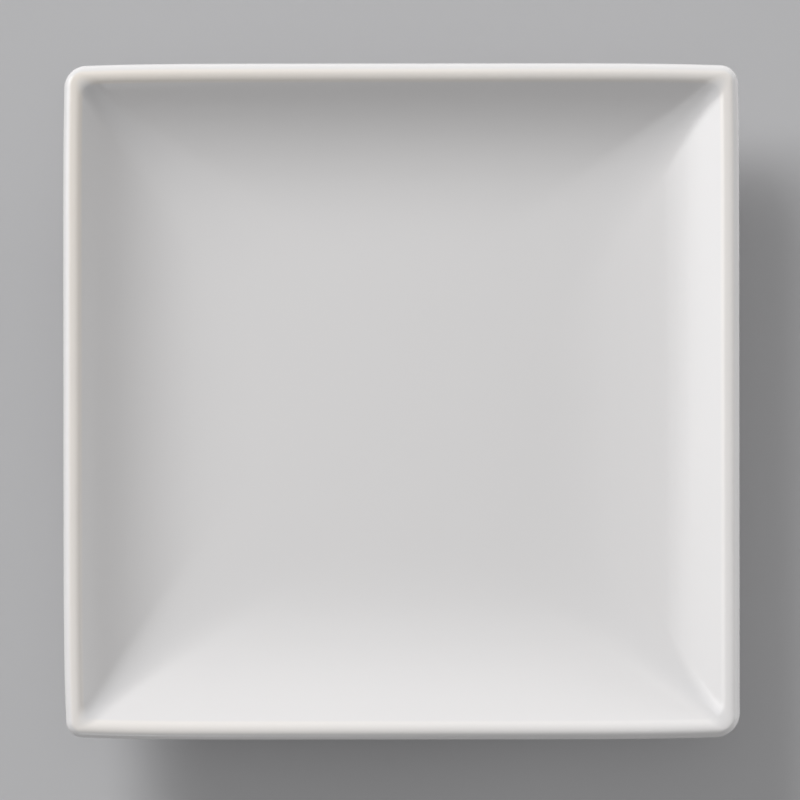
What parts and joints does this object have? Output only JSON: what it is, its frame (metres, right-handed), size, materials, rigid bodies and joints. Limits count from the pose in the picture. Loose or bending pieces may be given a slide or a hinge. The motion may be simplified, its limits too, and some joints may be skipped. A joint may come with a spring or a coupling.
{
  "type": "square plate",
  "caption": "Square white porcelain plate with a rounded lip, coved walls, a flat well and a square foot ring, glazed all over but the foot's bearing face.",
  "frame": {"origin": "middle of the foot ring, on the table", "axes": "+Z up out of the well; +X and +Y square to the sides, with +Y up in the picture"},
  "size_m": [0.14, 0.14, 0.016],
  "materials": {
    "bare_porcelain": "unglazed fired porcelain, matt, on the foot ring",
    "white_glaze": "glossy white fired glaze, thinner and creamier over the lip",
    "recess_glaze": "white fired glaze in the recess inside the foot ring"
  },
  "bodies": {
    "root": {"porcelain_body": "bare_porcelain", "face_glaze": "white_glaze", "base_glaze": "recess_glaze"}
  },
  "joints": []
}
